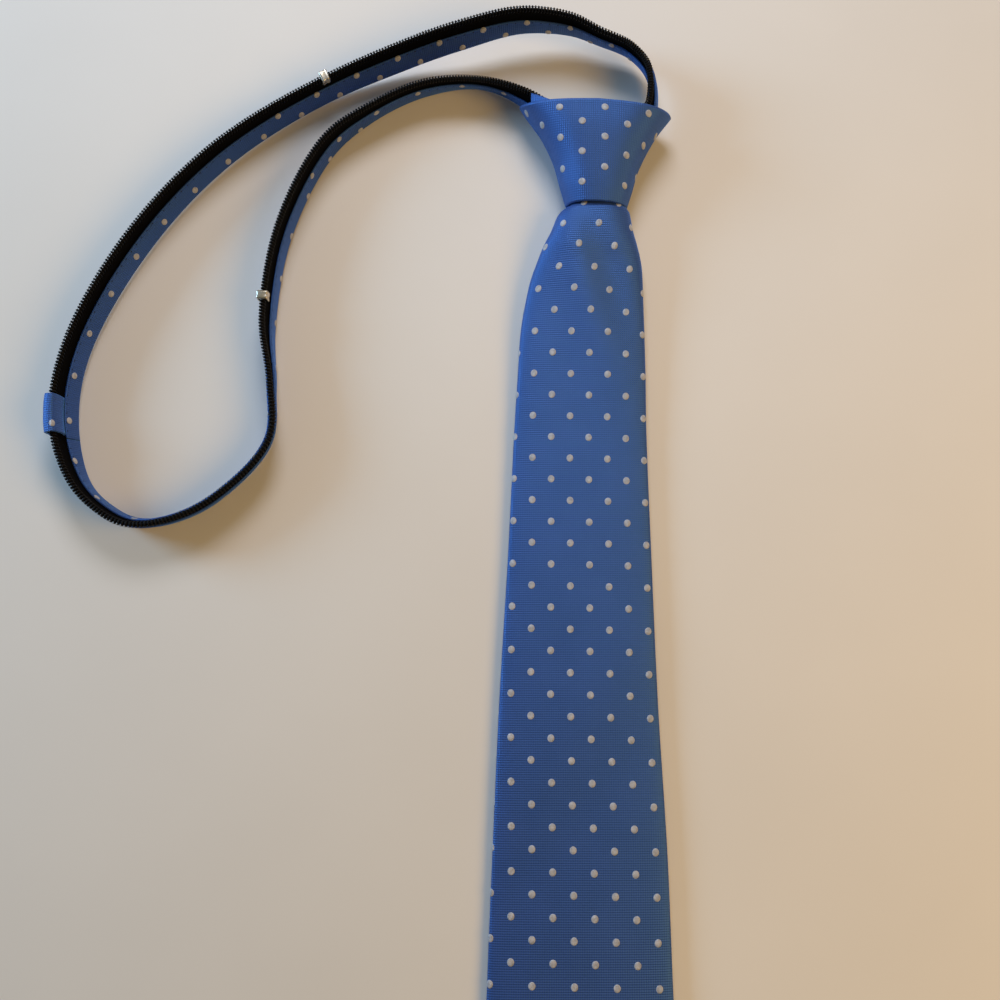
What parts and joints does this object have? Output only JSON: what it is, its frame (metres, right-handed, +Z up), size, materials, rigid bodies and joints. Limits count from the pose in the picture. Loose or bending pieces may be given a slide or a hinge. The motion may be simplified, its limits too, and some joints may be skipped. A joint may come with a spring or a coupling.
{
  "type": "zipper necktie",
  "caption": "Ready-tied dotted cloth necktie: hollow knot, folded pointed blade, and a zip-tape neckband standing on its cloth-bound edge in an open loop.",
  "frame": {"origin": "in the flat back of the knot, where it rests on the table, midway between its side folds", "axes": "+X across the tie, +Y from the blade's tip to the knot, +Z up from the table"},
  "size_m": [0.2449, 0.5216, 0.0262],
  "materials": {
    "dotted_cloth": "woven, matt, with pale dots",
    "trim_cloth": "woven, matt",
    "zip_tape": "woven, matt",
    "zip_coil": "satin",
    "stop_metal": "satin",
    "slider_metal": "satin"
  },
  "bodies": {
    "root": {"knot": "dotted_cloth", "blade": "dotted_cloth", "tape_right": "zip_tape", "teeth_right": "zip_coil", "trim_right": "trim_cloth", "tape_left": "zip_tape", "teeth_left": "zip_coil", "trim_left": "trim_cloth", "stop_right": "stop_metal", "stop_left": "stop_metal", "keeper": "dotted_cloth", "slider": "slider_metal"}
  },
  "joints": []
}
